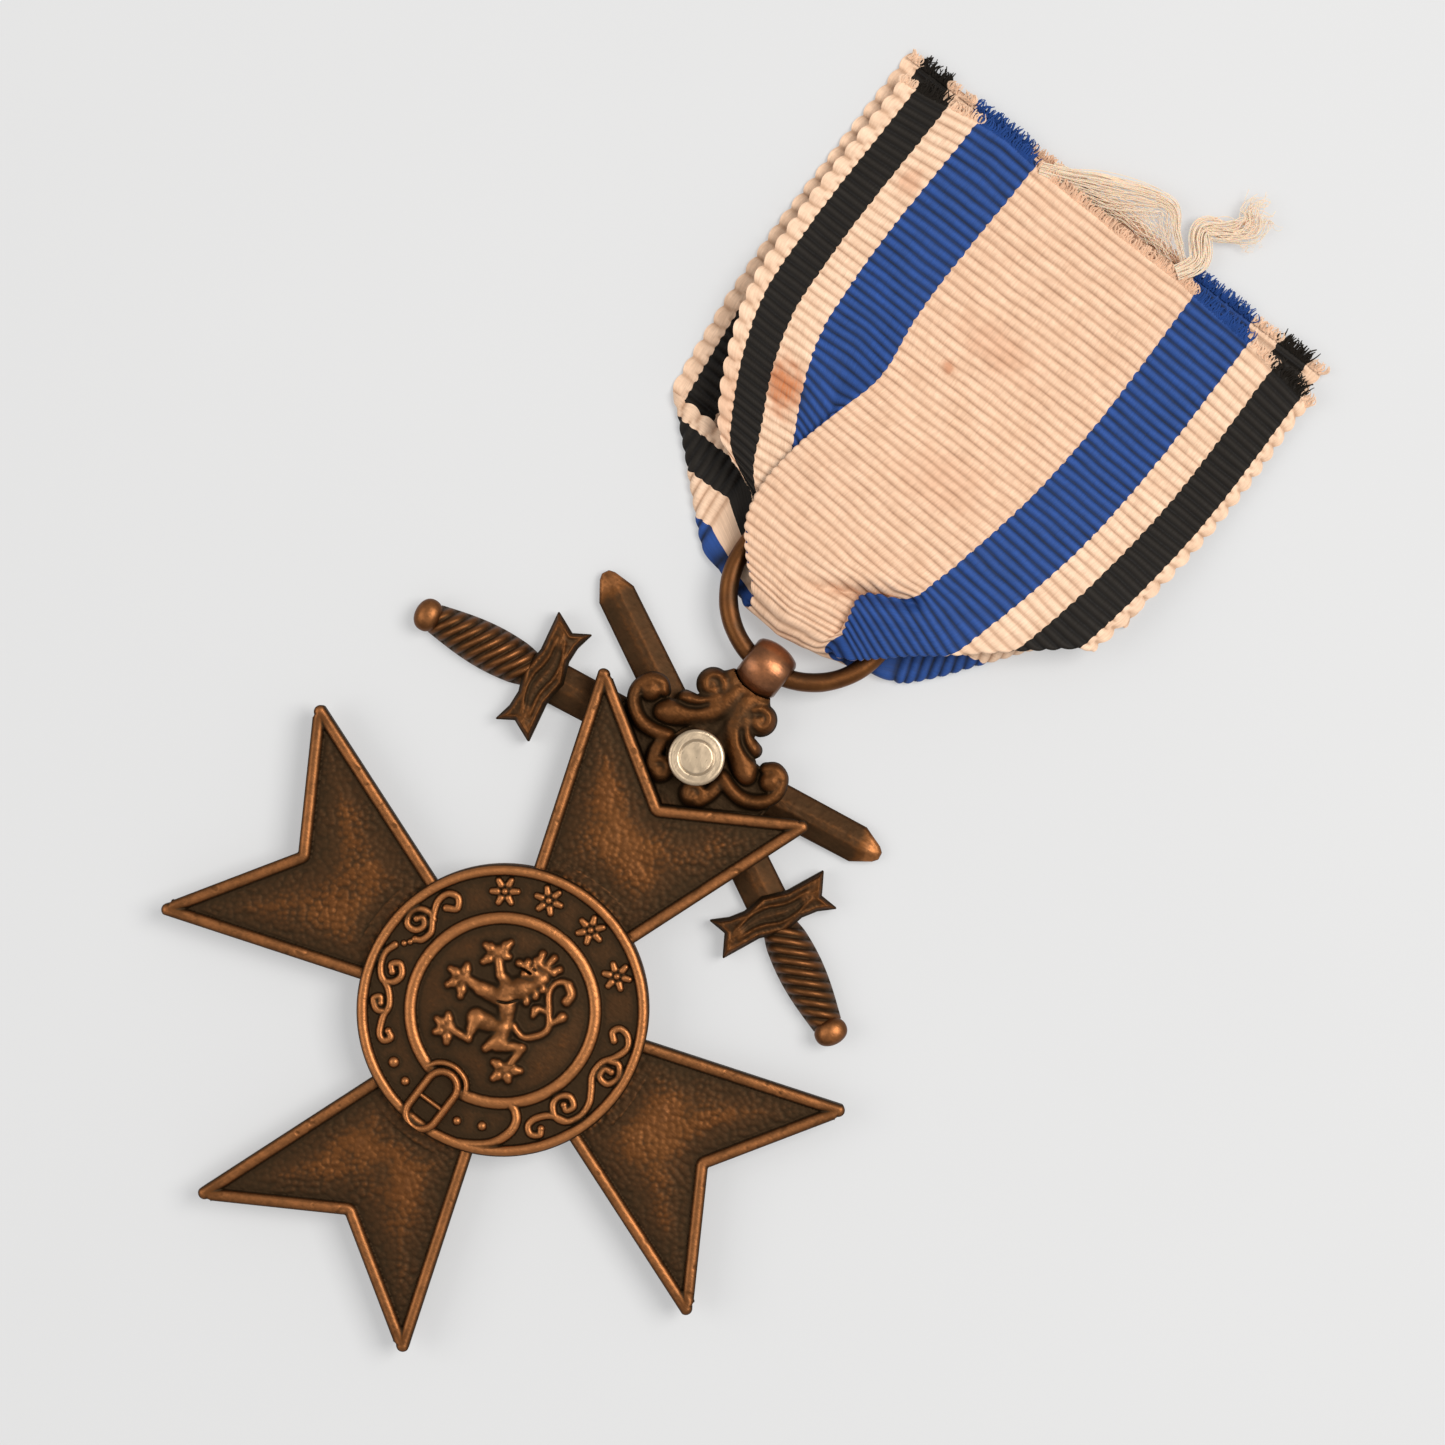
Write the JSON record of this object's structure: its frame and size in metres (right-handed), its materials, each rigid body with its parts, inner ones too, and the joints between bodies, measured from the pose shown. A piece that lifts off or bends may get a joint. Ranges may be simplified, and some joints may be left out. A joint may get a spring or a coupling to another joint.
{
  "type": "military award cross with crossed swords on a ribbon",
  "caption": "Bronze four-armed award cross with a central medallion, crossed swords on a rivet, a swinging ring and a folded striped ribbon.",
  "frame": {"origin": "centre of the flat back of the reverse medallion, on the surface that the medal rests on", "axes": "+X towards the viewer's right when the front is seen with the ribbon up, +Y from the cross towards the ribbon's cut ends, +Z out of the front"},
  "size_m": [0.042, 0.0849, 0.0035],
  "materials": {
    "bronze": "dark patina worn bright on the raised edges",
    "nickel_silver": "worn silvery metal",
    "silk": "ribbed silk, cream with blue, white and black stripes"
  },
  "bodies": {
    "medal": {"cross": "bronze", "obverse_medallion": "bronze", "reverse_medallion": "bronze", "suspension_bracket": "bronze", "suspension_ball": "bronze", "rivet": "nickel_silver"},
    "swords": {"sword_hilt_left": "bronze", "sword_hilt_right": "bronze"},
    "ring": {"suspension_ring": "bronze"},
    "gather": {"ribbon_gather": "silk"},
    "leaves": {"ribbon_front_leaf": "silk", "ribbon_back_leaf": "silk"}
  },
  "joints": [
    {"name": "swords_pivot", "type": "hinge", "parent": "medal", "child": "swords", "pos_m": [0, 0.02, 0.0006], "axis": [0, 0, 1], "range_deg": [-5, 20]},
    {"name": "ring_swing", "type": "hinge", "parent": "medal", "child": "ring", "pos_m": [0, 0.0272, 0.0018], "axis": [1, 0, 0], "range_deg": [-90, 110]},
    {"name": "ribbon_sway", "type": "hinge", "parent": "ring", "child": "gather", "pos_m": [-0.00035, 0.03259, 0.0018], "axis": [0, 0, 1], "range_deg": [-15, 15]},
    {"name": "ribbon_fold", "type": "hinge", "parent": "gather", "child": "leaves", "pos_m": [0, 0.041, 0.00135], "axis": [1, 0, 0], "range_deg": [-60, 60]}
  ]
}
